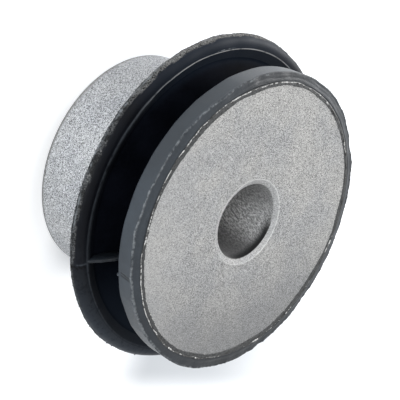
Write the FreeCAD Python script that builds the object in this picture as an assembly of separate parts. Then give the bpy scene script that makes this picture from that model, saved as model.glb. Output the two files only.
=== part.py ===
import FreeCAD, Part
import math
import os

# Control arm bushing: a steel outer sleeve and a steel inner sleeve, held together by moulded rubber.
# Every piece is turned about the bolt axis, Z. Z = 0 is the rear end of the inner sleeve, on which the
# bushing stands, and the large clamp plate is at the top. All sizes are in millimetres.

# Inner sleeve: a tube with a clamp plate, one forging
overall_length = 35.0
bore_radius = 7.1
bore_chamfer_width = 1.0
bore_chamfer_depth = 0.5
tube_radius = 12.0
tube_end_chamfer = 0.4
plate_radius = 26.1
plate_thickness = 3.2
plate_back_rounding = 0.4
plate_root_rounding = 1.5

# Outer sleeve: a drawn tube with a flange at its front end
sleeve_radius = 20.5
sleeve_wall = 2.5
sleeve_rear = 3.0
sleeve_rear_rounding = 0.9
sleeve_bore_chamfer = 0.4
sleeve_bend_rounding = 1.5
flange_radius = 27.0
flange_depth = 12.2

# Rubber over the edge and the back of the clamp plate
rim_cover = 1.65
rim_draft = 0.2
rim_bevel_depth = 0.38
rim_backing = 1.0
rim_front_rounding = 0.15
rim_back_rounding = 0.35

# Rubber groove between the plate and the flange
neck_radius = 17.5
neck_rounding = 2.3
dish_rounding = 1.2
dish_rise = 2.65

# Rubber lip round the flange, with heights measured from the flange's front face
lip_overhang = 3.85
lip_width = 2.25
lip_height = 1.6
lip_crest_rounding = 0.3
lip_outer_rounding = 1.9
lip_back_drop = 0.43
lip_back_rounding = 0.1
lip_root_drop = 1.4
lip_hollow = 0.55
lip_hollow_slope = 2.0

# Rubber at the rear, an annular hollow between the two sleeves
rear_inset = 1.8
rear_skirt = 0.9
rear_hollow_depth = 4.8
rear_hollow_rounding = 1.4

# Webs left in the groove where the two halves of the mould met
web_thickness = 0.6
web_edge_bulge = 0.35
web_root_depth = 0.5

# Heights and radii that follow from the sizes above
plate_back = overall_length - plate_thickness
flange_front = overall_length - flange_depth
flange_back = flange_front - sleeve_wall
sleeve_bore_radius = sleeve_radius - sleeve_wall
sleeve_bend_outer = sleeve_bend_rounding + sleeve_wall
rim_front_radius = plate_radius + rim_cover
rim_back_radius = rim_front_radius - rim_draft
rim_back = plate_back - rim_backing
lip_radius = flange_radius + lip_overhang
lip_crest_radius = lip_radius - lip_width
crest = flange_front + lip_height
lip_back = flange_front - lip_back_drop
lip_root = flange_front - lip_root_drop
dish_radius = lip_crest_radius - lip_hollow_slope
dish_bottom = crest - lip_hollow
neck_bottom = dish_bottom + dish_rise
rubber_rear = sleeve_rear + rear_inset


def point(radius, height):
    """A point of an outline, in the XZ plane."""
    return FreeCAD.Vector(radius, 0, height)


def corner_points(before, corner, after, rounding):
    """The corner itself, or the start, middle and end of the arc that rounds it."""
    if rounding == 0:
        return [corner]
    back = (before - corner).normalize()
    ahead = (after - corner).normalize()
    half_angle = back.getAngle(ahead) / 2
    reach = rounding / math.tan(half_angle)
    inward = (back + ahead).normalize()
    centre = corner + inward * (rounding / math.sin(half_angle))
    return [corner + back * reach, centre - inward * rounding, corner + ahead * reach]


def outline(corners):
    """A closed wire through corners that are each a radius, a height and, if rounded, a rounding."""
    places = [point(corner[0], corner[1]) for corner in corners]
    roundings = [corner[2] if len(corner) == 3 else 0 for corner in corners]
    count = len(places)
    stops = []
    for i in range(count):
        stops.append(corner_points(places[i - 1], places[i], places[(i + 1) % count], roundings[i]))
    edges = []
    for i in range(count):
        if len(stops[i]) == 3:
            edges.append(Part.Arc(*stops[i]).toShape())
        start = stops[i][-1]
        end = stops[(i + 1) % count][0]
        if start.distanceToPoint(end) > 1e-6:
            edges.append(Part.LineSegment(start, end).toShape())
    return Part.Wire(edges)


def turned(corners):
    """The solid that an outline sweeps about the bolt axis."""
    face = Part.Face(outline(corners))
    return face.revolve(FreeCAD.Vector(0, 0, 0), FreeCAD.Vector(0, 0, 1), 360)


def inner_sleeve():
    """Tube and clamp plate in one piece, with the bolt's bore through both."""
    mouth_radius = bore_radius + bore_chamfer_width
    return turned([
        (bore_radius, bore_chamfer_depth),
        (mouth_radius, 0),
        (tube_radius - tube_end_chamfer, 0),
        (tube_radius, tube_end_chamfer),
        (tube_radius, plate_back, plate_root_rounding),
        (plate_radius, plate_back, plate_back_rounding),
        (plate_radius, overall_length),
        (mouth_radius, overall_length),
        (bore_radius, overall_length - bore_chamfer_depth),
    ])


def outer_sleeve():
    """Drawn tube that is pressed into the arm, with the flange that stops it."""
    return turned([
        (sleeve_bore_radius, sleeve_rear + sleeve_bore_chamfer),
        (sleeve_bore_radius + sleeve_bore_chamfer, sleeve_rear),
        (sleeve_radius, sleeve_rear, sleeve_rear_rounding),
        (sleeve_radius, flange_back, sleeve_bend_rounding),
        (flange_radius, flange_back),
        (flange_radius, flange_front),
        (sleeve_bore_radius, flange_front, sleeve_bend_outer),
    ])


def web(side):
    """Thin web across the groove, from the lip's crest to the back of the plate, on one side."""
    start = point(lip_crest_radius, crest)
    end = point(neck_radius + neck_rounding / 2, rim_back)
    chord = (end - start).normalize()
    outward = FreeCAD.Vector(chord.z, 0, -chord.x)
    middle = (start + end) / 2 + outward * web_edge_bulge
    root_radius = neck_radius - web_root_depth
    root_top = point(root_radius, rim_back)
    root_low = point(root_radius, dish_bottom)
    root_out = point(dish_radius, dish_bottom - web_root_depth)
    edges = [
        Part.Arc(start, middle, end).toShape(),
        Part.LineSegment(end, root_top).toShape(),
        Part.LineSegment(root_top, root_low).toShape(),
        Part.LineSegment(root_low, root_out).toShape(),
        Part.LineSegment(root_out, start).toShape(),
    ]
    sheet = Part.Face(Part.Wire(edges))
    sheet.translate(FreeCAD.Vector(0, -web_thickness / 2, 0))
    solid = sheet.extrude(FreeCAD.Vector(0, web_thickness, 0))
    solid.rotate(FreeCAD.Vector(0, 0, 0), FreeCAD.Vector(0, 0, 1), side)
    return solid


def rubber_body():
    """The one moulding: rim over the plate, groove, flange lip, and the core between the sleeves."""
    hollow_middle = (tube_radius + sleeve_bore_radius) / 2
    moulding = turned([
        (tube_radius, rubber_rear),
        (tube_radius + rear_skirt, rubber_rear),
        (hollow_middle, rubber_rear + rear_hollow_depth, rear_hollow_rounding),
        (sleeve_bore_radius - rear_skirt, rubber_rear),
        (sleeve_bore_radius, rubber_rear),
        (sleeve_bore_radius, flange_front, sleeve_bend_outer),
        (flange_radius, flange_front),
        (flange_radius, lip_root),
        (lip_radius, lip_back, lip_back_rounding),
        (lip_radius, crest, lip_outer_rounding),
        (lip_crest_radius, crest, lip_crest_rounding),
        (dish_radius, dish_bottom, dish_rounding),
        (neck_radius, neck_bottom, neck_rounding),
        (neck_radius, rim_back, neck_rounding),
        (rim_back_radius, rim_back, rim_back_rounding),
        (rim_front_radius, overall_length - rim_bevel_depth, rim_front_rounding),
        (plate_radius, overall_length),
        (plate_radius, plate_back, plate_back_rounding),
        (tube_radius, plate_back, plate_root_rounding),
    ])
    return moulding.fuse([web(0), web(180)]).removeSplitter()


def main():
    """Writes each piece to its own file."""
    os.makedirs("parts", exist_ok=True)
    pieces = {
        "inner_sleeve": inner_sleeve(),
        "outer_sleeve": outer_sleeve(),
        "rubber_body": rubber_body(),
    }
    for name, shape in pieces.items():
        solid = shape.Solids[0]
        print(name, "solids", len(shape.Solids), "valid", shape.isValid(), "volume", round(solid.Volume, 1))
        solid.exportStep("parts/" + name + ".step")


main()
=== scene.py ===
import math

import bpy
import numpy as np
from mathutils import Matrix, Vector


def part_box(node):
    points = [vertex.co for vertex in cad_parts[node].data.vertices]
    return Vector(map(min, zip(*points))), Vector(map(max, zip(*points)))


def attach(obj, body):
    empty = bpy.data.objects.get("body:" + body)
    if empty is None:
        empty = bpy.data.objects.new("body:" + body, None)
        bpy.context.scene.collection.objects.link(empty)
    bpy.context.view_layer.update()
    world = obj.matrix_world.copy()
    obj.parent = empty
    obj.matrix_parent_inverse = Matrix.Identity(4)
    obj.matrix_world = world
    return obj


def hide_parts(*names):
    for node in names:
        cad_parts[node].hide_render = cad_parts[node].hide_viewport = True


# Control arm bushing: blasted steel sleeves held together by one rubber moulding, with the marks that
# moulding and trimming left on it. Sizes are in millimetres, angles in degrees about the bolt axis.
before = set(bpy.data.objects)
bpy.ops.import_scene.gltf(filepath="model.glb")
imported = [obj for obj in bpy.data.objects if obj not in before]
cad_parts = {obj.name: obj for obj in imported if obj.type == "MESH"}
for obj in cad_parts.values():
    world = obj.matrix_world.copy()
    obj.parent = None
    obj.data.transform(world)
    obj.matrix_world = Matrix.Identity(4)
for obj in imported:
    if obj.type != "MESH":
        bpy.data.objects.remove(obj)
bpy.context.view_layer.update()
MM = 0.001

# Sizes read from the frame
plate_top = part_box("inner_sleeve")[1].z / MM
rubber_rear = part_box("rubber_body")[0].z / MM
lip_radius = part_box("rubber_body")[1].x / MM

# Steel pieces
sleeve_bore_radius = 18.0
tube_radius = 12.0
bore_radius = 7.1
bore_mouth_radius = 8.1
plate_radius = 26.1
plate_back = plate_top - 3.2
flange_radius = 27.0
flange_front = plate_top - 12.2
sleeve_rear = 3.0

# Rubber rim over the plate's edge
rim_radius = 27.75
rim_back_radius = 27.55
rim_back = plate_back - 1.0
rim_front = plate_top - 0.38

# Groove, dish and lip
neck_radius = 17.5
neck_bottom = 26.5
neck_rounding = 2.3
dish_radius = 26.6
dish_bottom = 23.85
crest_radius = 28.6
crest = 24.4
lip_back = 22.37
lip_root = 21.4

# Where the mould's two halves met
web_angles = (0.0, 180.0)
web_thickness = 0.5

# Marks of trimming, by angle about the axis: the photo shows the rim from -150 to 160
rim_corners = (-176, -166, -156, -147.5, -141.5, -130, 62, 74, 84.5, 93, 103, 110, 118, 124, 130.5, 137,
               146, 158, 168)
lip_corners = (-160, -149, -143.5, -136.5, -130, -121)
torn_height_keys = {-180: 23.2, -142: 23.4, -90: 23.55, -40: 23.52, -4: 23.45, 2: 22.92, 48: 22.85,
                    90: 22.8, 140: 22.9}
soft_rim_corners = (-88, -72, -60, -47, -34, -20, -6, 9, 25, 42)
# The crest keys set the strength and width of the painted highlight along the lip's crest.
crest_highlight_keys = {-160: 0.3, -135: 0.6, -110: 0.8, -88: 0.85, -70: 0.4, -55: 0.17, -35: 0.1, -5: 0.1,
                    5: 0.15, 22: 0.12, 40: 0.07, 70: 0.03, 160: 0.1}
crest_width_keys = {-140: 0.07, -90: 0.075, -72: 0.14, -50: 0.36, -3: 0.4, 8: 0.2, 60: 0.18, 160: 0.12}
tear_line_keys = {-150: 0.5, -125: 0.6, -90: 0.6, -62: 0.95, -30: 1.0, -18: 0.8, -5: 0.35, 15: 0.6,
                  48: 0.7, 75: 0.4, 140: 0.3}
# The next keys set the strength of the painted highlight along the rim's crease.
crease_line_keys = {-175: 0.0, -130: 0.1, -90: 0.3, -62: 0.55, -30: 0.85, 10: 0.9, 30: 0.75, 60: 0.3,
                    120: 0.2}
crease_back_keys = {-180: 0.3, -140: 0.15, -112: 0.08, -98: 0.2, -93: -0.1, -75: 0.0, -60: 0.35, -40: 0.3,
                    -20: 0.7, 0: 0.45, 20: 0.35, 40: 0.2, 90: 0.1, 140: 0.2}
rim_reach_keys = {-180: 0.25, -170: 0.15, -155: 0.35, -140: 0.25, -125: 0.15, -100: 0.1, -60: 0.05,
                  20: 0.0, 42: 0.1, 55: 0.35, 66: 0.6, 80: 0.65, 90: 0.65, 100: 0.45, 112: 0.35, 130: 0.25,
                  142: 0.12, 150: 0.2, 160: 0.4, 170: 0.4}
skin_edge_keys = {-180: 25.4, -165: 25.4, -142: 25.5, -125: 25.5, -110: 25.45, -92: 25.15, -78: 25.05,
                  -57: 24.95, -45: 25.2, -25: 25.45, 0: 25.35, 25: 25.35, 45: 25.3, 70: 25.2, 90: 25.0,
                  105: 25.2, 130: 25.0, 145: 25.2, 160: 25.05}
skin_lift_keys = {-175: 0.2, -120: 0.3, -60: 0.3, -40: 0.5, -15: 0.9, 25: 0.95, 45: 0.5, 80: 0.3, 150: 0.3}
# The bead keys set how much of the bead's top is whitened and carries painted glints.
bead_white_and_glint_keys = {-178: 0.3, -166: 0.55, -155: 0.3, -140: 0.45, -118: 0.6, -102: 0.55, -88: 0.9, -76: 0.6,
                   -62: 0.9, -50: 0.75, -38: 0.65, -28: 0.5, -18: 0.7, -2: 0.9, 12: 0.8, 25: 0.7, 40: 0.55,
                   52: 0.35, 65: 0.3, 90: 0.45, 112: 0.5, 118: 0.1, 128: 0.45, 140: 0.1, 145: 0.8,
                   152: 0.2, 164: 0.1, 172: 0.3}
bead_drift_keys = {-178: -0.35, -160: -0.3, -140: -0.25, -115: -0.05, -60: -0.05, -25: -0.12, -8: 0.02,
                   0: 0.05, 30: 0.0, 70: -0.05, 105: -0.1, 135: -0.3, 160: -0.35}
torn_tag_angles = (-133, -126, -119, -108, -104, -101, -88, -78, -55, -31, 18, 24, 29, 33, 41, 58)

# Sides, as directions about the axis, named for where the photo shows them
bottom_side = (0.1, 0.995, 0.0)
right_side = (-0.94, -0.34, 0.0)
face_shaded_side = (0.26, 0.966, 0.0)
face_lit_side = (0.98, -0.2, 0.0)
chamfer_shaded_side = (0.87, 0.5, 0.0)
bore_mouth_side = (-0.34, 0.94, 0.0)
bore_upper_side = (-0.866, -0.5, 0.0)
sleeve_upper_side = (-0.17, -0.985, 0.0)
lip_lit_side = (-0.26, -0.966, 0.0)
rim_lit_side = (-0.3, -0.954, 0.0)
rim_shaded_side = (0.42, -0.907, 0.0)

# Drill marks in the bore: the direction across them and their lean
chatter_across = (-0.769, 0.639, 0.0)
chatter_lean = -21

# Steel tones
plate_steel = {"Steel": (0.376, 0.381, 0.386, 1), "Warm": (0.389, 0.388, 0.382, 1), "Grain": 9500.0,
               "Contrast": 2.45}
sleeve_steel = {"Steel": (0.4, 0.406, 0.42, 1), "Warm": (0.41, 0.413, 0.418, 1), "Grain": 7600.0,
                "Contrast": 2.9}
# Painted shade for the face's bottom side, and painted light for its left side.
face_painted_shade = (0.16, 0.163, 0.168, 1)
face_painted_light = (0.5, 0.5, 0.498, 1)
# Painted light and painted shade for the chamfer's two sides, and a painted highlight for its edge.
chamfer_painted_light = (0.62, 0.63, 0.64, 1)
chamfer_painted_shade = (0.2, 0.203, 0.206, 1)
edge_painted_highlight = (0.72, 0.72, 0.72, 1)
drill_valley = (0.48, 0.48, 0.482, 1)
drill_crest = (1.0, 1.0, 1.0, 1)
bore_by_mouth = (0.14, 0.14, 0.142, 1)
bore_pit = (0.1, 0.1, 0.1, 1)
# Painted shade for the bore's bottom and top.
bore_bottom_shade = (0.09, 0.09, 0.092, 1)
bore_upper_shade = (0.15, 0.15, 0.152, 1)
bore_shadow = (0.012, 0.012, 0.013, 1)
# Painted shade for the sleeve's upper side and rounded rear edge, and painted light next to the lip.
sleeve_shade = (0.2, 0.201, 0.204, 1)
sleeve_rear_painted_shade = (0.16, 0.157, 0.15, 1)
sleeve_painted_light_by_lip = (0.62, 0.63, 0.65, 1)

# Rubber tones
black_rubber = {"Dark": (0.0009, 0.0012, 0.0022, 1), "Bloom": (0.0042, 0.0052, 0.0085, 1)}
satin_rubber = {"Dark": (0.017, 0.022, 0.029, 1), "Bloom": (0.037, 0.048, 0.060, 1)}
scraped_rubber = {"Dark": (0.013, 0.0175, 0.023, 1), "Bloom": (0.036, 0.044, 0.054, 1)}
web_tones = {"Dark": (0.002, 0.003, 0.005, 1), "Bloom": (0.0145, 0.0195, 0.0265, 1)}
# Painted sheen for the lip's and groove's bottom side and the lip's top, and painted light for the rim's top.
blue_painted_sheen = (0.016, 0.025, 0.04, 1)
rim_painted_light = (0.24, 0.238, 0.236, 1)
rim_shade = (0.012, 0.016, 0.02, 1)
# Painted shade for the scraped bevel: towards the bottom, on its top side and on its right side.
scraped_low = (0.011, 0.014, 0.018, 1)
scraped_shade = (0.010, 0.012, 0.015, 1)
torn_pore = (0.01, 0.01, 0.01, 1)
torn_hollow = (0.012, 0.012, 0.012, 1)
torn_dull = (0.082, 0.084, 0.087, 1)
# Painted light for the torn band's top.
torn_painted_light = (0.19, 0.188, 0.184, 1)
torn_crumb = (0.34, 0.335, 0.32, 1)
# Painted highlight along the lip's crest, whiter on its top.
crest_painted_highlight = (0.34, 0.39, 0.45, 1)
crest_top_highlight = (0.55, 0.55, 0.55, 1)
# Scuffs and nicks, with a painted highlight along the rim's crease.
scuff_and_highlight = (0.24, 0.26, 0.275, 1)
crack_black = (0.001, 0.001, 0.001, 1)
# Rubber whitened by the knife, with painted glints on the bead's top.
bead_white_and_glint = (0.66, 0.66, 0.65, 1)
skin_white = (0.6, 0.6, 0.58, 1)
white = (1, 1, 1)

# Floor: how far the eye's view of it is lifted to white, and the two directions of its shaded strip
floor_tone = (0.745, 0.775, 0.81, 1)
floor_lift = 0.65
strip_outward = (0.461, 0.887, 0.0)
strip_along = (-0.887, 0.461, 0.0)

# World light: away from the soft boxes' side, and toward it
world_low = 0.35
world_high = 0.6

# Meshes
FINE = 1024
HALF = 512
COARSE = 256


def wander(angles, seed, slowest, fastest, fall=1.0):
    """A closed random curve of angle, about 1 high, made of waves from slowest to fastest a turn."""
    rng = np.random.default_rng(seed)
    curve = np.zeros_like(angles)
    power = 0.0
    for turns in range(slowest, fastest + 1):
        height = turns ** -fall
        curve += height * np.cos(np.radians(turns * angles) + rng.uniform(0, 2 * math.pi))
        power += height * height / 2
    return curve / math.sqrt(power)


def keyed(angles, keys):
    """A smooth closed curve of angle through given keys."""
    stops = sorted(keys)
    places = np.array([stops[-1] - 360] + stops + [stops[0] + 360], float)
    values = np.array([keys[stops[-1]]] + [keys[stop] for stop in stops] + [keys[stops[0]]])
    wrapped = (angles + 180) % 360 - 180
    index = np.clip(np.searchsorted(places, wrapped, side="right") - 1, 0, len(places) - 2)
    share = (wrapped - places[index]) / (places[index + 1] - places[index])
    eased = share * share * (3 - 2 * share)
    return values[index] + (values[index + 1] - values[index]) * eased


def smooth_step(value, low, high):
    """0 below low, 1 above high, and a smooth rise between."""
    share = np.clip((value - low) / (high - low), 0, 1)
    return share * share * (3 - 2 * share)


def facets(angles, corners, radius):
    """How far straight trimming cuts between neighbouring corner angles lie inside a circle."""
    depth = np.zeros_like(angles)
    wrapped = (angles + 180) % 360 - 180
    for first, last in zip(corners, corners[1:]):
        if last - first > 30:
            continue
        inside = (wrapped >= first) & (wrapped < last)
        half = math.radians((last - first) / 2)
        across = np.radians(wrapped[inside] - (first + last) / 2)
        depth[inside] = radius * (1 - math.cos(half) / np.cos(across))
    return depth


def near(angles, middle, half_width):
    """1 at the middle angle, falling smoothly to 0 at half_width either side."""
    away = np.abs((angles - middle + 180) % 360 - 180)
    return 1 - smooth_step(away, 0, half_width)


def outline(corners):
    """Rounds a closed outline's corners. Each is radius, height, rounding, steps on its arc, steps to the
    next corner, segments round the axis and the name of the stretch. Gives back the rings to turn."""
    rings = []
    count = len(corners)
    places = [np.array(corner[:2], float) for corner in corners]
    for i in range(count):
        radius, height, rounding, arc_steps, run_steps, segments, name = corners[i]
        here = places[i]
        back = places[i - 1] - here
        ahead = places[(i + 1) % count] - here
        back /= np.linalg.norm(back)
        ahead /= np.linalg.norm(ahead)
        if rounding:
            half_angle = math.acos(np.clip(back @ ahead, -1, 1)) / 2
            reach = rounding / math.tan(half_angle)
            inward = (back + ahead) / np.linalg.norm(back + ahead)
            centre = here + inward * rounding / math.sin(half_angle)
            start = here + back * reach - centre
            end = here + ahead * reach - centre
            sweep = math.pi - 2 * half_angle
            for step in range(arc_steps + 1):
                share = step / arc_steps
                blend = math.sin((1 - share) * sweep) * start + math.sin(share * sweep) * end
                rings.append((centre + blend / math.sin(sweep), segments, name + "_corner"))
        else:
            rings.append((here, segments, name + "_corner"))
        leave = rings[-1][0]
        arrive = arc_start(corners, (i + 1) % count)
        for step in range(1, run_steps):
            rings.append((leave + (arrive - leave) * step / run_steps, segments, name))
    return rings


def arc_start(corners, i):
    """Where the rounding of a corner begins, or the corner itself."""
    here = np.array(corners[i][:2], float)
    rounding = corners[i][2]
    if not rounding:
        return here
    back = np.array(corners[i - 1][:2], float) - here
    ahead = np.array(corners[(i + 1) % len(corners)][:2], float) - here
    back /= np.linalg.norm(back)
    ahead /= np.linalg.norm(ahead)
    half_angle = math.acos(np.clip(back @ ahead, -1, 1)) / 2
    return here + back * rounding / math.tan(half_angle)


def ring_normals(rings):
    """Outward direction of each ring in the plane of the outline, which runs with its inside on the left."""
    places = np.array([ring[0] for ring in rings])
    along = np.roll(places, -1, axis=0) - np.roll(places, 1, axis=0)
    along /= np.linalg.norm(along, axis=1)[:, None]
    return np.stack([along[:, 1], -along[:, 0]], axis=1)


def strip(first, first_count, second, second_count):
    """Faces between two rings, of which one may have twice the points of the other."""
    faces = []
    if first_count == second_count:
        for j in range(first_count):
            k = (j + 1) % first_count
            faces.append((first + j, first + k, second + k, second + j))
    elif first_count > second_count:
        ratio = first_count // second_count
        for j in range(second_count):
            k = (j + 1) % second_count
            spread = [first + (j * ratio + n) % first_count for n in range(ratio + 1)]
            faces.append((*spread, second + k, second + j))
    else:
        ratio = second_count // first_count
        for j in range(first_count):
            k = (j + 1) % first_count
            spread = [second + (j * ratio + n) % second_count for n in range(ratio, -1, -1)]
            faces.append((first + j, first + k, *spread))
    return faces


def turn(name, rings, shape, masks=(), finishes=None):
    """Turns rings about the axis. shape gives each ring's radii, heights and masks at given angles, and
    finishes the material of a stretch, by the start of its name."""
    points = []
    faces = []
    looks = []
    painted = {mask: [] for mask in masks}
    starts = []
    for i, (place, segments, stretch) in enumerate(rings):
        angles = np.arange(segments) * 360 / segments
        radii, heights, values = shape(i, place, stretch, angles)
        starts.append(sum(len(part) for part in points))
        turned = np.radians(angles)
        points.append(np.stack([radii * np.cos(turned), radii * np.sin(turned), heights], axis=1))
        for mask in masks:
            painted[mask].append(np.broadcast_to(values.get(mask, 0.0), angles.shape))
    for i in range(len(rings)):
        k = (i + 1) % len(rings)
        new_faces = strip(starts[i], rings[i][1], starts[k], rings[k][1])
        faces += new_faces
        stretch = rings[i][2].removesuffix("_corner")
        looks += [(finishes or {}).get(stretch, 0)] * len(new_faces)
    piece = new_piece(name, np.concatenate(points), faces)
    piece.data.polygons.foreach_set("material_index", looks)
    for mask in masks:
        layer = piece.data.attributes.new(mask, "FLOAT", "POINT")
        layer.data.foreach_set("value", np.concatenate(painted[mask]).astype(np.float32))
    return piece


def new_piece(name, points, faces):
    """A smooth mesh object from points in millimetres."""
    mesh = bpy.data.meshes.new(name)
    mesh.from_pydata((np.asarray(points) * MM).tolist(), [], [tuple(face) for face in faces])
    mesh.polygons.foreach_set("use_smooth", [True] * len(mesh.polygons))
    mesh.update()
    piece = bpy.data.objects.new(name, mesh)
    bpy.context.scene.collection.objects.link(piece)
    return piece


def dress(piece, material):
    """Gives a new piece its material and its body."""
    piece.data.materials.append(material)
    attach(piece, "root")
    return piece


class Graph:
    """A node tree written from left to right: each call adds a node and gives back its output."""

    def __init__(self, tree):
        self.tree = tree

    def feed(self, socket, value):
        if isinstance(value, bpy.types.NodeSocket):
            self.tree.links.new(value, socket)
        else:
            socket.default_value = value

    def add(self, kind, inputs, **settings):
        node = self.tree.nodes.new(kind)
        for name, value in settings.items():
            setattr(node, name, value)
        for name, value in inputs.items():
            self.feed(node.inputs[name], value)
        return node

    def math(self, operation, first, second=0.0):
        node = self.add("ShaderNodeMath", {0: first, 1: second}, operation=operation)
        return node.outputs[0]

    def span(self, value, low, high, to_low=0.0, to_high=1.0):
        inputs = {"Value": value, "From Min": low, "From Max": high, "To Min": to_low, "To Max": to_high}
        return self.add("ShaderNodeMapRange", inputs, interpolation_type="SMOOTHSTEP").outputs["Result"]

    def line(self, value, low, high, to_low=0.0, to_high=1.0):
        inputs = {"Value": value, "From Min": low, "From Max": high, "To Min": to_low, "To Max": to_high}
        return self.add("ShaderNodeMapRange", inputs).outputs["Result"]

    def mix(self, share, first, second):
        node = self.add("ShaderNodeMix", {0: share, 6: first, 7: second}, data_type="RGBA")
        return node.outputs[2]

    def dot(self, first, second):
        node = self.add("ShaderNodeVectorMath", {0: first, 1: second}, operation="DOT_PRODUCT")
        return node.outputs["Value"]

    def noise(self, place, scale, detail=2.0, roughness=0.5, stretch=None):
        if stretch:
            place = self.add("ShaderNodeMapping", {"Vector": place, "Scale": stretch}).outputs[0]
        inputs = {"Vector": place, "Scale": scale, "Detail": detail, "Roughness": roughness}
        return self.add("ShaderNodeTexNoise", inputs).outputs["Fac"]

    def mask(self, name):
        return self.add("ShaderNodeAttribute", {}, attribute_name=name).outputs["Fac"]

    def place(self):
        return self.add("ShaderNodeTexCoord", {}).outputs["Object"]

    def group(self, tree, inputs):
        return self.add("ShaderNodeGroup", inputs, node_tree=tree).outputs


def new_group(name, inputs, outputs):
    """An empty node group with named sockets, its graph, and its input and output nodes."""
    tree = bpy.data.node_groups.new(name, "ShaderNodeTree")
    for socket, kind, default in inputs:
        made = tree.interface.new_socket(name=socket, in_out="INPUT", socket_type=kind)
        made.default_value = default
    for socket, kind in outputs:
        tree.interface.new_socket(name=socket, in_out="OUTPUT", socket_type=kind)
    entry = tree.nodes.new("NodeGroupInput").outputs
    leave = tree.nodes.new("NodeGroupOutput").inputs
    return tree, Graph(tree), entry, leave


def make_blasted_group():
    """Grit-blasted steel: fine grain, bright and dark specks, and slow warm and cool patches."""
    inputs = [
        ("Steel", "NodeSocketColor", (0.4, 0.4, 0.4, 1)),
        ("Warm", "NodeSocketColor", (0.4, 0.39, 0.37, 1)),
        ("Grain", "NodeSocketFloat", 4000.0),
        ("Contrast", "NodeSocketFloat", 0.5),
    ]
    outputs = [("Color", "NodeSocketColor"), ("Roughness", "NodeSocketFloat"), ("Height", "NodeSocketFloat")]
    tree, g, entry, leave = new_group("blasted_steel_grain", inputs, outputs)
    place = g.place()
    pits = g.add("ShaderNodeTexVoronoi", {"Vector": place, "Scale": entry["Grain"]}).outputs["Color"]
    pit = g.add("ShaderNodeSeparateColor", {"Color": pits}).outputs["Red"]
    fine = g.noise(place, g.math("MULTIPLY", entry["Grain"], 0.8), 2.0, 0.6)
    grain = g.math("ADD", g.math("MULTIPLY", pit, 0.55), g.math("MULTIPLY", fine, 0.45))
    slow = g.noise(place, 110.0, 3.0, 0.6)
    blotch = g.noise(place, 520.0, 2.0, 0.5)
    specks = g.noise(place, 4200.0, 0.0)
    light_specks = g.span(specks, 0.68, 0.78, 0.0, 0.4)
    dark_specks = g.span(specks, 0.30, 0.2, 0.0, -0.5)
    base = g.mix(g.span(slow, 0.38, 0.62), entry["Steel"], entry["Warm"])
    level = g.math("MULTIPLY", g.math("SUBTRACT", grain, 0.5), entry["Contrast"])
    level = g.math("ADD", level, g.line(blotch, 0.2, 0.8, -0.06, 0.06))
    level = g.math("ADD", level, g.line(slow, 0.2, 0.8, -0.13, 0.13))
    level = g.math("ADD", level, light_specks)
    level = g.math("ADD", level, dark_specks)
    gain = g.math("ADD", level, 1.0)
    shaded = g.add("ShaderNodeVectorMath", {0: base, "Scale": gain}, operation="SCALE").outputs[0]
    g.feed(leave["Color"], shaded)
    g.feed(leave["Roughness"], g.line(grain, 0.3, 0.7, 0.76, 0.62))
    g.feed(leave["Height"], g.math("ADD", grain, g.math("MULTIPLY", blotch, 0.6)))
    return tree


def make_break_group():
    """A mask broken into patches: the weaker the mask, the less of it a noise leaves."""
    inputs = [
        ("Mask", "NodeSocketFloat", 1.0),
        ("Scale", "NodeSocketFloat", 1500.0),
        ("Threshold", "NodeSocketFloat", 0.5),
        ("Softness", "NodeSocketFloat", 0.08),
    ]
    tree, g, entry, leave = new_group("broken_mask", inputs, [("Mask", "NodeSocketFloat")])
    patches = g.noise(g.place(), entry["Scale"], 3.0, 0.6)
    patches = g.math("ADD", patches, g.line(entry["Mask"], 0.0, 1.0, -0.3, 0.0))
    low = g.math("SUBTRACT", entry["Threshold"], entry["Softness"])
    high = g.math("ADD", entry["Threshold"], entry["Softness"])
    kept = g.span(patches, low, high)
    g.feed(leave["Mask"], g.math("MULTIPLY", kept, g.span(entry["Mask"], 0.0, 0.3)))
    return tree


def make_radius_group():
    """A point's distance from the bolt axis, its height, and how far it faces a given side, from -1 to 1."""
    inputs = [("Direction", "NodeSocketVector", (1.0, 0.0, 0.0))]
    outputs = [("Radius", "NodeSocketFloat"), ("Height", "NodeSocketFloat"), ("Facing", "NodeSocketFloat")]
    tree, g, entry, leave = new_group("round_the_axis", inputs, outputs)
    place = g.place()
    flat = g.add("ShaderNodeVectorMath", {0: place, 1: (1, 1, 0)}, operation="MULTIPLY").outputs[0]
    radius = g.add("ShaderNodeVectorMath", {0: flat}, operation="LENGTH").outputs["Value"]
    unit = g.add("ShaderNodeVectorMath", {0: flat}, operation="NORMALIZE").outputs[0]
    height = g.add("ShaderNodeSeparateXYZ", {0: place}).outputs["Z"]
    g.feed(leave["Radius"], g.math("DIVIDE", radius, MM))
    g.feed(leave["Height"], g.math("DIVIDE", height, MM))
    g.feed(leave["Facing"], g.dot(unit, entry["Direction"]))
    return tree


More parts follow.
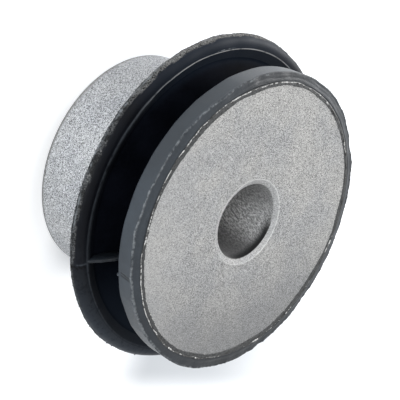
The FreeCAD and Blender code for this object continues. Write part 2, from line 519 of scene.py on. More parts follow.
def make_rubber_group():
    """Moulded rubber: slow cloudy tone, fine dust and a faint skin of its own."""
    inputs = [
        ("Dark", "NodeSocketColor", (0.01, 0.01, 0.01, 1)),
        ("Bloom", "NodeSocketColor", (0.06, 0.07, 0.08, 1)),
        ("Bloom share", "NodeSocketFloat", 0.5),
    ]
    outputs = [("Color", "NodeSocketColor"), ("Height", "NodeSocketFloat")]
    tree, g, entry, leave = new_group("moulded_rubber", inputs, outputs)
    place = g.place()
    cloud = g.noise(place, 160.0, 3.0, 0.6)
    fine = g.noise(place, 2600.0, 2.0, 0.6)
    share = g.math("ADD", entry["Bloom share"], g.line(cloud, 0.25, 0.75, -0.3, 0.3))
    share = g.math("ADD", share, g.line(fine, 0.3, 0.7, -0.1, 0.1))
    share = g.span(share, 0.0, 1.0)
    g.feed(leave["Color"], g.mix(share, entry["Dark"], entry["Bloom"]))
    g.feed(leave["Height"], g.math("ADD", fine, g.math("MULTIPLY", cloud, 0.5)))
    return tree


BLASTED = make_blasted_group()
BROKEN = make_break_group()
AROUND = make_radius_group()
RUBBER = make_rubber_group()


def new_material(name, color):
    """A material with a Principled shader, its graph and the shader's inputs."""
    material = bpy.data.materials.new(name)
    material.use_nodes = True
    material.diffuse_color = color
    shader = material.node_tree.nodes["Principled BSDF"]
    return material, Graph(material.node_tree), shader.inputs


def facing(g, side):
    """How far each point faces a side, from -1 to 1."""
    return g.group(AROUND, {"Direction": side})["Facing"]


def seen_by_eye(g):
    """1 for rays from the eye, straight or by way of a reflection or glass, and 0 for the light's."""
    rays = g.add("ShaderNodeLightPath", {}).outputs
    seen = g.math("MAXIMUM", rays["Is Camera Ray"], rays["Is Glossy Ray"])
    return g.math("MAXIMUM", seen, rays["Is Transmission Ray"])


def add_bump(g, shader, height, strength, distance):
    """Raises the surface by a height between 0 and 1, over a distance in millimetres."""
    inputs = {"Height": height, "Strength": strength, "Distance": distance * MM}
    g.feed(shader["Normal"], g.add("ShaderNodeBump", inputs).outputs["Normal"])


def inner_steel():
    """Clamp plate and tube: blasted face with painted shade towards its bottom side and painted light on its
    left side, a chamfer with painted light and shade on its two sides and a painted highlight along its edge,
    and a dark drilled bore.
    """
    material, g, shader = new_material("blasted_plate_steel", (0.4, 0.4, 0.4, 1))
    grain = g.group(BLASTED, plate_steel)
    around = g.group(AROUND, {"Direction": bore_mouth_side})
    place = g.place()
    depth = g.math("SUBTRACT", plate_top - 0.5, around["Height"])
    in_bore = g.span(around["Radius"], bore_radius + 0.12, bore_radius + 0.02)
    bore_tone = drilled_bore_tone(g, place, around, depth)
    color = g.mix(in_bore, grain["Color"], bore_tone)
    outward = g.line(around["Radius"], 6.0, 26.0)
    on_face = g.span(around["Height"], plate_top - 0.3, plate_top - 0.1)
    # Painted shade towards the face's bottom side.
    face_shade = g.math("MULTIPLY", facing(g, face_shaded_side), outward)
    face_shade = g.math("MULTIPLY", g.span(face_shade, -0.1, 1.0), on_face)
    color = g.mix(g.math("MULTIPLY", face_shade, 0.6), color, face_painted_shade)
    # Painted light on the face's left side.
    pale = g.math("MULTIPLY", facing(g, face_lit_side), outward)
    color = g.mix(g.span(pale, 0.2, 1.0, 0.0, 0.3), color, face_painted_light)
    # Painted highlight along the chamfer's edge, broken into patches.
    off_chamfer = g.math("ABSOLUTE", g.math("SUBTRACT", around["Radius"], bore_mouth_radius))
    edge_highlight_patches = {"Mask": g.span(off_chamfer, 0.16, 0.02), "Scale": 1600.0, "Threshold": 0.32, "Softness": 0.15}
    near_top = g.span(around["Height"], plate_top - 1.0, plate_top - 0.6)
    wear_and_highlight = g.math("MULTIPLY", g.group(BROKEN, edge_highlight_patches)["Mask"], near_top)
    in_mouth = g.span(around["Radius"], bore_mouth_radius + 0.05, bore_mouth_radius - 0.05)
    on_chamfer = g.math("MULTIPLY", in_mouth, near_top)
    on_chamfer = g.math("MULTIPLY", on_chamfer, g.math("SUBTRACT", 1.0, in_bore))
    # Painted light and painted shade on the chamfer's two sides; the edge's painted highlight is stronger on
    # the lit side.
    dull = g.span(facing(g, chamfer_shaded_side), -0.2, 0.95)
    chamfer_tone = g.mix(dull, chamfer_painted_light, chamfer_painted_shade)
    color = g.mix(g.math("MULTIPLY", on_chamfer, 0.3), color, chamfer_tone)
    color = g.mix(g.math("MULTIPLY", wear_and_highlight, g.line(dull, 0.0, 1.0, 0.75, 0.3)), color, edge_painted_highlight)
    g.feed(shader["Base Color"], color)
    g.feed(shader["Roughness"], grain["Roughness"])
    shader["Metallic"].default_value = 0.25
    add_bump(g, shader, grain["Height"], 0.35, 0.05)
    return material


def drilled_bore_tone(g, place, around, depth):
    """The bore's wall: slanting drill marks and pits, with painted shade towards its top and bottom so that
    it is lighter in the middle, and black painted shadow under the mouth's edge.
    """
    slanted = {"Vector": place, "Axis": chatter_across, "Angle": math.radians(chatter_lean)}
    slanted = g.add("ShaderNodeVectorRotate", slanted, rotation_type="AXIS_ANGLE").outputs[0]
    chatter = g.noise(slanted, 4700.0, 1.0, 0.5, stretch=(1.0, 1.0, 0.3))
    patches = g.noise(place, 420.0, 2.0, 0.5)
    pits = g.noise(place, 5200.0, 1.0, 0.5)
    mark = g.span(chatter, 0.43, 0.57)
    mark = g.math("MULTIPLY", g.math("SUBTRACT", mark, 0.5), g.span(patches, 0.38, 0.62, 0.8, 1.3))
    tone = g.mix(g.math("ADD", mark, 0.5), drill_valley, drill_crest)
    tone = g.mix(g.math("MULTIPLY", g.span(depth, 8.0, 0.8), 0.35), tone, bore_by_mouth)
    tone = g.mix(g.span(pits, 0.42, 0.34), tone, bore_pit)
    # Painted shade towards the bottom and the top of the wall.
    low = facing(g, bottom_side)
    tone = g.mix(g.math("MULTIPLY", g.span(low, 0.6, 1.0), 0.85), tone, bore_bottom_shade)
    high = facing(g, bore_upper_side)
    tone = g.mix(g.math("MULTIPLY", g.span(high, 0.6, 1.0), 0.5), tone, bore_upper_shade)
    under = g.math("MULTIPLY", g.span(depth, 2.4, 0.4), g.span(around["Facing"], 0.45, 0.9))
    return g.mix(under, tone, bore_shadow)


def outer_steel():
    """Outer sleeve: coarser blasted grain, a shade bluer, with painted shade on its upper side and on the
    rounded edge at the rear, and painted light next to the lip.
    """
    material, g, shader = new_material("blasted_sleeve_steel", (0.42, 0.43, 0.44, 1))
    grain = g.group(BLASTED, sleeve_steel)
    around = g.group(AROUND, {"Direction": sleeve_upper_side})
    # Painted shade on the sleeve's upper side.
    upper = g.math("MULTIPLY", g.span(around["Facing"], 0.5, 1.0), 0.32)
    color = g.mix(upper, grain["Color"], sleeve_shade)
    # Painted shade on the rounded rear edge.
    at_rear = g.span(around["Height"], sleeve_rear + 1.3, sleeve_rear + 0.6)
    color = g.mix(g.math("MULTIPLY", at_rear, 0.8), color, sleeve_rear_painted_shade)
    # Painted light next to the lip.
    by_lip = g.span(around["Height"], 13.0, 19.5)
    color = g.mix(g.math("MULTIPLY", by_lip, 0.18), color, sleeve_painted_light_by_lip)
    g.feed(shader["Base Color"], color)
    g.feed(shader["Roughness"], grain["Roughness"])
    shader["Metallic"].default_value = 0.3
    add_bump(g, shader, grain["Height"], 0.45, 0.06)
    return material


def moulding_rubber(name, gloss):
    """The moulding's rubber: satin rim, black groove and lip, scraped trim and torn flash, by its masks, with
    painted light, shade and sheen on some sides, and painted highlights along the crest and the crease.
    """
    material, g, shader = new_material(name, (0.03, 0.035, 0.04, 1))
    place = g.place()
    rim = g.mask("rim")
    trim = g.mask("trim")
    torn = g.mask("torn")
    wear_and_highlight = g.mask("wear_and_highlight")
    painted_sheen = g.mask("painted_sheen")
    crack = g.mask("crack")
    black = g.group(RUBBER, black_rubber)
    satin = g.group(RUBBER, satin_rubber)
    scraped = g.group(RUBBER, scraped_rubber)
    low = facing(g, bottom_side)
    around = g.group(AROUND, {"Direction": lip_lit_side})
    upward = around["Facing"]
    # Painted sheen on the lip's and groove's bottom side and on the lip's top.
    top_painted_sheen = g.math("MULTIPLY", g.span(upward, 0.6, 1.0, 0.0, 0.4), g.span(around["Radius"], 25.0, 27.5))
    bloom = g.math("ADD", g.span(low, 0.0, 0.9, 0.0, 0.5), top_painted_sheen)
    black_with_painted_sheen = g.mix(bloom, black["Color"], blue_painted_sheen)
    color = g.mix(rim, black_with_painted_sheen, satin["Color"])
    # Painted light on the rim's top side.
    dust = facing(g, rim_lit_side)
    color = g.mix(g.math("MULTIPLY", rim, g.span(dust, 0.9, 1.0, 0.0, 0.22)), color, rim_painted_light)
    shaded = facing(g, rim_shaded_side)
    color = g.mix(g.math("MULTIPLY", rim, g.span(shaded, 0.82, 1.0, 0.0, 0.55)), color, rim_shade)
    color = g.mix(g.math("MULTIPLY", rim, g.span(low, 0.0, 0.8, 0.0, 0.35)), color, rim_shade)
    far = facing(g, right_side)
    color = g.mix(g.math("MULTIPLY", rim, g.span(far, 0.5, 1.0, 0.0, 0.25)), color, rim_shade)
    # Painted shade on the scraped bevel towards the bottom, on its top side and on its right side.
    trimmed = g.mix(g.span(low, 0.75, 1.0, 0.0, 0.6), scraped["Color"], scraped_low)
    trimmed = g.mix(g.span(dust, 0.9, 1.0, 0.0, 0.75), trimmed, scraped_shade)
    trimmed = g.mix(g.span(far, 0.5, 1.0, 0.0, 0.3), trimmed, scraped_shade)
    color = g.mix(trim, color, trimmed)
    crumbs = g.noise(place, 3400.0, 2.0, 0.7)
    # Painted light on the lip's top: the torn band is lighter there, with fewer dark hollows, and the crest's
    # painted highlight whiter.
    lit_top = g.span(upward, 0.55, 0.97)
    dull = g.mix(lit_top, torn_dull, torn_painted_light)
    torn_tone = g.mix(g.span(crumbs, 0.36, 0.54), torn_pore, dull)
    torn_tone = g.mix(g.span(crumbs, 0.6, 0.76), torn_tone, torn_crumb)
    hollows = g.noise(place, 620.0, 2.0, 0.6)
    hollows = g.math("MULTIPLY", g.span(hollows, 0.54, 0.42), g.line(lit_top, 0.0, 1.0, 0.75, 0.2))
    torn_tone = g.mix(hollows, torn_tone, torn_hollow)
    color = g.mix(torn, color, torn_tone)
    nicks = g.noise(place, 700.0, 3.0, 0.7)
    crest_tone = g.mix(lit_top, crest_painted_highlight, crest_top_highlight)
    color = g.mix(g.math("MULTIPLY", painted_sheen, g.span(nicks, 0.34, 0.5, 0.35, 1.0)), color, crest_tone)
    # Scuffs, nicks and the torn edge's light line, and a painted highlight along the rim's crease.
    scuffs_and_highlights = g.group(BROKEN, {"Mask": wear_and_highlight, "Scale": 1300.0, "Threshold": 0.4, "Softness": 0.22})["Mask"]
    color = g.mix(g.math("MULTIPLY", scuffs_and_highlights, 0.75), color, scuff_and_highlight)
    color = g.mix(crack, color, crack_black)
    g.feed(shader["Base Color"], color)
    rough = g.line(black["Height"], 0.5, 1.0, 0.42, 0.55)
    rough = g.math("ADD", rough, g.math("MULTIPLY", torn, 0.4))
    g.feed(shader["Roughness"], rough)
    shader["Specular IOR Level"].default_value = gloss
    tear = g.math("MULTIPLY", crumbs, g.math("MULTIPLY", torn, 2.2))
    scrape = g.noise(place, 1500.0, 2.0, 0.6, stretch=(1.0, 1.0, 3.0))
    scrape = g.math("MULTIPLY", scrape, g.math("MULTIPLY", trim, 0.6))
    relief = g.math("ADD", g.math("MULTIPLY", black["Height"], 0.12), g.math("ADD", tear, scrape))
    add_bump(g, shader, relief, 0.7, 0.12)
    return material


def bead_rubber():
    """The trimmed bead and torn crumbs: black rubber, whitened where the knife dragged, with painted glints
    along the top.
    """
    material, g, shader = new_material("whitened_rubber", (0.3, 0.3, 0.3, 1))
    kept = {"Mask": g.mask("white"), "Scale": 480.0, "Threshold": 0.36, "Softness": 0.1}
    kept = g.group(BROKEN, kept)["Mask"]
    kept = g.group(BROKEN, {"Mask": kept, "Scale": 2700.0, "Threshold": 0.44, "Softness": 0.1})["Mask"]
    fine = g.noise(g.place(), 3800.0, 2.0, 0.6)
    dark = g.mix(g.span(fine, 0.35, 0.7), (0.008, 0.008, 0.008, 1), (0.06, 0.06, 0.058, 1))
    g.feed(shader["Base Color"], g.mix(kept, dark, bead_white_and_glint))
    g.feed(shader["Roughness"], g.line(fine, 0.3, 0.7, 0.3, 0.55))
    add_bump(g, shader, fine, 0.4, 0.05)
    return material


def skin_rubber():
    """Thin rubber skin that crept over the plate's face, black with a grey bloom."""
    material, g, shader = new_material("flash_skin_rubber", (0.05, 0.05, 0.05, 1))
    fine = g.noise(g.place(), 2400.0, 3.0, 0.65)
    tone = g.mix(g.span(fine, 0.38, 0.6), (0.010, 0.011, 0.012, 1), (0.06, 0.063, 0.065, 1))
    lifted = {"Mask": g.mask("white"), "Scale": 1300.0, "Threshold": 0.5, "Softness": 0.07}
    lifted = g.group(BROKEN, lifted)["Mask"]
    g.feed(shader["Base Color"], g.mix(lifted, tone, skin_white))
    g.feed(shader["Roughness"], g.line(fine, 0.3, 0.7, 0.4, 0.65))
    add_bump(g, shader, fine, 0.5, 0.08)
    return material


def moulding_outline():
    """The moulding's section, as round the part's source, with the dense rings where the photo looks."""
    hollow_middle = (tube_radius + sleeve_bore_radius) / 2
    return outline([
        (tube_radius, rubber_rear, 0, 1, 1, COARSE, "rear"),
        (tube_radius + 0.9, rubber_rear, 0, 1, 4, COARSE, "rear"),
        (hollow_middle, rubber_rear + 4.8, 1.4, 8, 4, COARSE, "rear"),
        (sleeve_bore_radius - 0.9, rubber_rear, 0, 1, 1, COARSE, "rear"),
        (sleeve_bore_radius, rubber_rear, 0, 1, 2, COARSE, "rear"),
        (sleeve_bore_radius, flange_front, 4.0, 5, 1, COARSE, "bond"),
        (flange_radius, flange_front, 0, 1, 1, COARSE, "bond"),
        (flange_radius, lip_root, 0, 1, 5, FINE, "lip_back"),
        (lip_radius, lip_back, 0.1, 3, 4, FINE, "lip_side"),
        (lip_radius, crest, 1.9, 11, 1, FINE, "lip_top"),
        (crest_radius + 0.3, crest, 0, 1, 4, FINE, "crest"),
        (crest_radius, crest, 0, 1, 4, FINE, "crest"),
        (crest_radius - 0.3, crest - 0.0825, 0, 1, 2, FINE, "crest"),
        (dish_radius, dish_bottom, 1.2, 6, 7, HALF, "dish"),
        (neck_radius, neck_bottom, neck_rounding, 8, 3, COARSE, "neck"),
        (neck_radius, rim_back, neck_rounding, 8, 7, COARSE, "rim_under"),
        (rim_back_radius, rim_back, 0.35, 4, 11, FINE, "rim_side"),
        (rim_radius, rim_front, 0.15, 4, 9, FINE, "bevel"),
        (plate_radius, plate_top, 0, 1, 3, FINE, "bond"),
        (plate_radius, plate_back, 0.4, 3, 4, COARSE, "bond"),
        (tube_radius, plate_back, 1.5, 4, 4, COARSE, "bond"),
    ])


def rubber_moulding():
    """The whole moulding, wobbled, trimmed, creased and torn as moulding and knife left it."""
    rings = moulding_outline()
    normals = ring_normals(rings)
    rng = np.random.default_rng(11)
    grit = rng.standard_normal((len(rings), FINE))
    grit = (grit + np.roll(grit, 1, axis=1) + np.roll(grit, -1, axis=1)) / 3
    grit = (grit * 2 + np.roll(grit, 1, axis=0)) / 2

    def shape(i, place, stretch, angles):
        wrapped = (angles + 180) % 360 - 180
        stride = FINE // len(angles)
        radius = np.full_like(angles, place[0])
        height = np.full_like(angles, place[1])
        push = np.zeros_like(angles)
        values = {}
        if stretch.startswith(("lip_side", "lip_top", "crest", "lip_back", "dish")):
            out = smooth_step(radius, 26.0, 30.0)
            radius += smooth_step(radius, 28.8, 30.0) * 0.2 * near(angles, -95, 65)
            push += out * (0.05 * wander(angles, 3, 2, 9) + 0.025 * wander(angles, 4, 12, 40))
            radius -= out * facets(angles, lip_corners, lip_radius) * smooth_step(height, 24.4, 23.0)
            edge = keyed(angles, torn_height_keys) + 0.10 * wander(angles, 5, 8, 90, 0.6)
            torn = smooth_step(edge - place[1], -0.03, 0.1) * smooth_step(radius, 29.6, 30.3)
            values["torn"] = torn
            push += torn * (0.055 * grit[i, ::stride] - 0.05)
            above = place[1] - lip_back - 0.28 - 0.1 * wander(angles, 6, 6, 50, 0.6)
            values["wear_and_highlight"] = torn * np.exp(-(above / 0.13) ** 2) * keyed(angles, tear_line_keys)
            if stretch.startswith("lip_top"):
                # Painted sheen on the lip's bottom side, and a painted highlight where the mould's halves
                # met.
                parting = near(angles, 0.3, 0.45) * smooth_step(30.6 - place[0], 0.0, 0.3)
                values["painted_sheen"] = 0.075 * near(angles, 45, 65) + 0.12 * parting
                jagged = 1.3 + 0.4 * math.sin(place[0] * 11)
                values["crack"] = 0.9 * near(angles, jagged, 0.8) * smooth_step(place[0], 28.95, 29.3)
            if stretch.startswith("crest"):
                nick = near(angles, -101, 7) * np.exp(-((place[0] - crest_radius - 0.27) / 0.08) ** 2)
                values["wear_and_highlight"] = 0.8 * nick
                # Painted highlight along the crest.
                off_line = place[0] - crest_radius + 0.03 * wander(angles, 8, 3, 30, 0.8)
                on_line = np.exp(-(off_line / keyed(angles, crest_width_keys)) ** 2)
                values["painted_sheen"] = on_line * keyed(angles, crest_highlight_keys)
                push += on_line * (0.035 + 0.012 * wander(angles, 9, 40, 200, 0.2))
        if stretch.startswith(("rim_under", "rim_side", "bevel")):
            out = smooth_step(radius, 25.6, 27.2)
            push += out * (0.03 * wander(angles, 13, 2, 8) + 0.015 * wander(angles, 14, 10, 30))
            radius += out * keyed(angles, rim_reach_keys)
            cut = facets(angles, rim_corners, rim_radius)
            cut += 0.4 * facets(angles, soft_rim_corners, rim_radius)
            radius -= out * cut
            values["rim"] = smooth_step(radius, 20.0, 26.0)
        if stretch.startswith(("rim_side", "bevel")):
            back = keyed(angles, crease_back_keys) + 0.06 * wander(angles, 15, 6, 60, 0.8)
            below = smooth_step(height, rim_back + 1.2, rim_front)
            beyond = smooth_step(radius, plate_radius, rim_radius - 0.2)
            height -= back * below * beyond
            crease_height = rim_front - back
            above = height - crease_height
            values["trim"] = smooth_step(above, 0.02, 0.1) * smooth_step(plate_top - height, -0.5, 0.0)
            off_crease = above - 0.02 - 0.04 * wander(angles, 19, 8, 90, 0.5)
            ridge = np.exp(-(off_crease / 0.1) ** 2) * (place[0] > rim_radius - 0.4)
            ridge_height = 0.04 + 0.03 * wander(angles, 16, 20, 200, 0.3)
            push += ridge * ridge_height * (1 - 0.9 * near(angles, -108, 30))
            # Painted highlight along the crease's ridge.
            values["wear_and_highlight"] = ridge * keyed(angles, crease_line_keys)
        if stretch.startswith("bevel"):
            inward = (rim_radius - place[0]) / (rim_radius - plate_radius)
            lane = inward + 0.05 * wander(angles, 17, 3, 30, 0.8)
            within = smooth_step(inward, 0.1, 0.3) * smooth_step(1 - inward, 0.0, 0.2)
            push += 0.025 * np.cos(lane * 2 * math.pi * 2.5) * within
            values["trim"] = np.ones_like(angles)
        if stretch.startswith("rim_side"):
            crack = parting_cracks(wrapped, height)
            values["crack"] = crack
            push -= 0.12 * crack
            nub = near(angles, 0.2, 0.8) * smooth_step(rim_back + 0.75 - place[1], 0.0, 0.5)
            push += 0.35 * nub
        radius = radius + push * normals[i][0]
        height = height + push * normals[i][1]
        return radius, height, values

    finishes = {"rim_side": 1, "bevel": 1, "neck": 2, "rim_under": 2, "dish": 2}
    masks = ("rim", "trim", "torn", "wear_and_highlight", "painted_sheen", "crack")
    piece = turn("rubber_moulding", rings, shape, masks, finishes)
    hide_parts("rubber_body")
    dress(piece, moulding_rubber("lip_rubber", 0.1))
    piece.data.materials.append(moulding_rubber("rim_rubber", 0.4))
    piece.data.materials.append(moulding_rubber("groove_rubber", 0.015))
    return piece


def parting_cracks(angles, height):
    """Two short diagonal cracks on the rim's side, where the mould's halves met."""
    crack = np.zeros_like(angles)
    for lean, start in ((0.2, 0.1), (0.3, -0.9)):
        middle = start + lean * (height - 32.6)
        inside = smooth_step(height, 31.5, 31.8) * smooth_step(33.9 - height, 0.0, 0.3)
        crack = np.maximum(crack, (1 - smooth_step(np.abs(angles - middle), 0.12, 0.38)) * inside)
    return crack


def edge_bead():
    """Bead of rubber along the plate's edge, cut ragged by the trimming knife."""
    half_width = 0.15
    corners = []
    for step in range(8):
        around = math.pi * step / 7
        out = half_width * math.cos(around)
        corners.append((plate_radius + out, plate_top + half_width * math.sin(around)))
    corners.append((plate_radius, plate_top - half_width))
    rings = [(np.array(corner), FINE, "bead") for corner in corners]

    def shape(i, place, stretch, angles):
        tall = 0.8 + 0.3 * wander(angles, 21, 12, 90, 0.6) + 0.12 * wander(angles, 24, 90, 300, 0.0)
        low = smooth_step(wander(angles, 22, 5, 40, 0.6), -1.0, 0.4)
        size = np.clip(tall * (0.4 + 0.6 * low), 0.15, 1.5)
        drift = 0.08 * wander(angles, 23, 4, 60, 0.8) + keyed(angles, bead_drift_keys)
        radius = plate_radius + drift + (place[0] - plate_radius) * (0.6 + 0.4 * size)
        height = plate_top + (place[1] - plate_top) * size
        top = smooth_step(place[1] - plate_top, 0.02, 0.12)
        # Whitened rubber and painted glints on the bead's top, set by angle.
        return radius, height, {"white": keyed(angles, bead_white_and_glint_keys) * top}

    return dress(turn("edge_bead", rings, shape, ("white",)), bead_rubber())


def flash_skin():
    """Thin skin of rubber over the outermost millimetre of the plate's face, with a ragged inner edge."""
    shares = (0.0, 0.03, 0.1, 0.3, 0.6, 1.0)
    lifts = (0.0, 0.07, 0.09, 0.05, 0.05, 0.05)
    rings = [(np.array((share, lift)), FINE, "skin") for share, lift in zip(shares, lifts)]
    rings.append((np.array((1.0, -0.1)), FINE, "skin"))
    rings.append((np.array((0.0, -0.1)), FINE, "skin"))

    def shape(i, place, stretch, angles):
        ragged = 0.02 * wander(angles, 31, 20, 160, 0.5) + 0.06 * wander(angles, 32, 4, 30, 0.7)
        inner = keyed(angles, skin_edge_keys) + ragged
        radius = inner + (plate_radius - inner) * place[0]
        height = np.full_like(angles, plate_top + place[1])
        if 0.02 < place[0] < 0.99:
            height += 0.02 * wander(angles, 33 + i, 20, 200, 0.3)
        edge = smooth_step(0.2 - place[0], 0.0, 0.12)
        return radius, height, {"white": keyed(angles, skin_lift_keys) * edge}

    return dress(turn("flash_skin", rings, shape, ("white",)), skin_rubber())


def torn_tags():
    """Small tags of rubber left standing out of the lip's torn edge."""
    rng = np.random.default_rng(41)
    spread = list(torn_tag_angles) + list(rng.uniform(-180, 180, 40))
    points = []
    faces = []
    for number, angle in enumerate(spread):
        long = rng.uniform(0.18, 0.34) if number < len(torn_tag_angles) else rng.uniform(0.08, 0.18)
        wide = rng.uniform(0.12, 0.22)
        foot = lip_back + rng.uniform(0.0, 0.5)
        lean = rng.uniform(-0.1, 0.1)
        trimmed = facets(np.array([float(angle)]), lip_corners, lip_radius)[0]
        turned = Matrix.Rotation(math.radians(angle), 3, "Z")
        base = lip_radius - 0.12 - trimmed
        tag = [
            (base, -wide, foot),
            (base, wide, foot),
            (base, wide * 0.6, foot + wide),
            (base, -wide * 0.7, foot + wide * 0.8),
            (base + 0.12 + long * 0.7, lean - 0.03, foot - long * 0.5),
            (base + 0.12 + long * 0.6, lean + 0.04, foot - long * 0.2),
        ]
        start = len(points)
        points += [tuple(turned @ Vector(corner)) for corner in tag]
        sides = [(0, 1, 4), (1, 2, 5), (1, 5, 4), (2, 3, 5), (3, 0, 4), (3, 4, 5), (3, 2, 1, 0)]
        faces += [tuple(start + corner for corner in side) for side in sides]
    return dress(new_piece("torn_tags", points, faces), torn_rubber())


def torn_rubber():
    """Torn rubber: grey-brown crumbs with dark pores."""
    material, g, shader = new_material("torn_rubber", (0.06, 0.06, 0.055, 1))
    crumbs = g.noise(g.place(), 3000.0, 3.0, 0.7)
    tone = g.mix(g.span(crumbs, 0.35, 0.65), (0.02, 0.02, 0.019, 1), (0.14, 0.137, 0.13, 1))
    g.feed(shader["Base Color"], tone)
    g.feed(shader["Roughness"], g.line(crumbs, 0.3, 0.7, 0.6, 0.9))
    add_bump(g, shader, crumbs, 0.5, 0.06)
    return material


def mould_web(angle, number, material):
    """Thin web across the groove, from the lip's crest to the back of the rim, with a thickened free edge."""
    start = np.array((crest_radius + 0.15, crest - 0.05))
    end = np.array((neck_radius + neck_rounding / 2, rim_back + 0.1))
    chord = (end - start) / np.linalg.norm(end - start)
    outward = np.array((chord[1], -chord[0]))
    inner_top = np.array((neck_radius - 0.3, rim_back + 0.1))
    inner_low = np.array((neck_radius - 0.3, neck_bottom - 1.2))
    inner_out = np.array((dish_radius - 0.4, dish_bottom - 0.5))
    steps = 40
    half = web_thickness / 2
    points = []
    faces = []
    for side in (-1, 1):
        for step in range(steps + 1):
            share = step / steps
            edge = start + (end - start) * share + outward * 0.4 * 4 * share * (1 - share)
            ragged = 0.05 * math.sin(share * 37) + 0.04 * math.sin(share * 91 + 1)
            root = inner_out + (inner_low - inner_out) * share * 0.5 + (inner_top - inner_low) * share * 0.5
            for lane, keep in enumerate((1.0, 0.93, 0.6, 0.0)):
                place = root + (edge + outward * ragged - root) * keep
                swell = half * (0.45, 1.15, 0.8, 1.3)[lane]
                points.append((place[0], side * swell + 0.06 * math.sin(share * 9), place[1]))
    lanes = 4
    row = (steps + 1) * lanes
    for step in range(steps):
        for lane in range(lanes - 1):
            a = step * lanes + lane
            faces.append((a, a + lanes, a + lanes + 1, a + 1))
            b = row + a
            faces.append((b, b + 1, b + lanes + 1, b + lanes))
    for step in range(steps):
        a = step * lanes
        faces.append((a, row + a, row + a + lanes, a + lanes))
        c = a + lanes - 1
        faces.append((c, c + lanes, row + c + lanes, row + c))
    for step, flip in ((0, 1), (steps, -1)):
        for lane in range(lanes - 1):
            a = step * lanes + lane
            face = (a, a + 1, row + a + 1, row + a)
            faces.append(face if flip > 0 else face[::-1])
    turned = Matrix.Rotation(math.radians(angle), 3, "Z")
    points = [tuple(turned @ Vector(point)) for point in points]
    piece = new_piece(f"mould_web_{number}", points, faces)
    return dress(piece, material)


def web_rubber():
    """The webs' rubber: dark, with a bluish satin bloom."""
    material, g, shader = new_material("web_rubber", (0.03, 0.035, 0.045, 1))
    rubber = g.group(RUBBER, web_tones)
    g.feed(shader["Base Color"], rubber["Color"])
    shader["Roughness"].default_value = 0.5
    shader["Specular IOR Level"].default_value = 0.3
    add_bump(g, shader, rubber["Height"], 0.3, 0.08)
    return material


def floor():
    """Pale floor, lifted to white for the eye, but not in a strip where the bushing's shadow is to show."""
    half = 3.0
    drop = 0.00002
    mesh = bpy.data.meshes.new("floor")
    corners = [(-half, -half, -drop), (half, -half, -drop), (half, half, -drop), (-half, half, -drop)]
    mesh.from_pydata(corners, [], [(0, 1, 2, 3)])
    piece = bpy.data.objects.new("floor", mesh)
    bpy.context.scene.collection.objects.link(piece)
    material, g, shader = new_material("pale_floor", (0.9, 0.9, 0.9, 1))
    shader["Roughness"].default_value = 0.9
    shader["Specular IOR Level"].default_value = 0.0
    shader["Emission Color"].default_value = (*white, 1)
    shader["Base Color"].default_value = floor_tone
    lift = g.line(shaded_strip(g), 0.0, 1.0, floor_lift, 0.0)
    g.feed(shader["Emission Strength"], g.math("MULTIPLY", seen_by_eye(g), lift))
    mesh.materials.append(material)
    return piece


def shaded_strip(g):
    """The floor's strip: from the bushing's foot outward, then wider, and slanted off on its upper side."""
    place = g.add("ShaderNodeVectorMath", {0: g.place(), "Scale": 1 / MM}, operation="SCALE").outputs[0]
    out = g.dot(place, strip_outward)
    along = g.dot(place, strip_along)
    slant = g.math("MULTIPLY", g.math("MAXIMUM", g.math("SUBTRACT", along, 45.0), 0.0), 1.5)
    far_side = g.span(g.math("SUBTRACT", out, slant), -26.0, -12.0)
    far_ends = g.math("MULTIPLY", g.span(along, 16.0, 32.0), g.span(along, 90.0, 48.0))
    far_part = g.math("MULTIPLY", far_ends, g.math("MULTIPLY", far_side, g.span(out, 51.0, 43.0)))
    near_ends = g.math("MULTIPLY", g.span(along, -12.0, 2.0), g.span(along, 60.0, 40.0))
    near_sides = g.math("MULTIPLY", g.span(out, 27.0, 17.0), g.span(out, -26.0, -12.0))
    return g.math("MAXIMUM", far_part, g.math("MULTIPLY", near_ends, near_sides))


def studio_world():
    """Even studio light, stronger from above and from the soft boxes' side, and white to look at."""
    world = bpy.data.worlds.new("studio")
    bpy.context.scene.world = world
    world.use_nodes = True
    g = Graph(world.node_tree)
    shader = world.node_tree.nodes["Background"].inputs
    direction = g.add("ShaderNodeTexCoord", {}).outputs["Generated"]
    level = g.line(g.dot(direction, (0.2, -0.5, 0.8)), -1.0, 1.0, world_low, world_high)
    g.feed(shader["Strength"], g.math("MAXIMUM", level, seen_by_eye(g)))
    shader["Color"].default_value = (*white, 1)


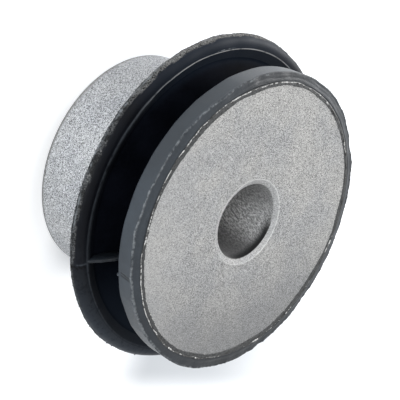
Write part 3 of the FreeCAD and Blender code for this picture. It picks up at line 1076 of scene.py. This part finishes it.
def soft_box(name, place, aim, size, radiance, color):
    """A square soft light of a given brightness, so that its power follows from its size."""
    light = bpy.data.lights.new(name, "AREA")
    light.shape = "SQUARE"
    light.size = size
    light.energy = radiance * math.pi * size * size
    light.color = color
    lamp = bpy.data.objects.new(name, light)
    bpy.context.scene.collection.objects.link(lamp)
    lamp.location = place
    lamp.rotation_euler = (Vector(aim) - Vector(place)).to_track_quat("-Z", "Y").to_euler()
    return lamp


def photo_camera():
    """The camera at the photo's angle: the bushing stands on its end here, so the camera is rolled."""
    azimuth, elevation, roll = math.radians(49.66), math.radians(37.55), math.radians(116.84)
    distance = 0.4242
    aim = Vector((-0.00195, 0.00203, 0.02114))
    flat = math.cos(elevation)
    back = Vector((math.sin(azimuth) * flat, -math.cos(azimuth) * flat, math.sin(elevation)))
    level = Vector((math.cos(azimuth), math.sin(azimuth), 0))
    upright = back.cross(level)
    right = math.cos(roll) * level + math.sin(roll) * upright
    up = back.cross(right)
    data = bpy.data.cameras.new("photo_camera")
    data.lens = 211.2
    data.sensor_width = 36
    camera = bpy.data.objects.new("photo_camera", data)
    bpy.context.scene.collection.objects.link(camera)
    turn_to = Matrix((right, up, back)).transposed().to_4x4()
    camera.matrix_world = Matrix.Translation(aim + back * distance) @ turn_to
    bpy.context.scene.camera = camera


for node, steel in (("inner_sleeve", inner_steel), ("outer_sleeve", outer_steel)):
    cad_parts[node].data.materials.clear()
    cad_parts[node].data.materials.append(steel())
rubber_moulding()
edge_bead()
flash_skin()
torn_tags()
rubber_of_webs = web_rubber()
for number, angle in enumerate(web_angles):
    mould_web(angle, number, rubber_of_webs)

floor()
studio_world()
middle = (0, 0, 0.02)
box_size = 0.2
cool_white = (0.93, 0.97, 1.0)
soft_box("back_soft_box", (-0.324, -0.057, 0.14), middle, box_size, 8.9, white)
soft_box("side_soft_box", (0.306, -0.143, 0.11), middle, box_size, 5.2, cool_white)
soft_box("top_soft_box", (-0.05, -0.282, 0.22), middle, box_size, 2.5, white)
photo_camera()

bpy.context.scene.view_settings.view_transform = "Standard"
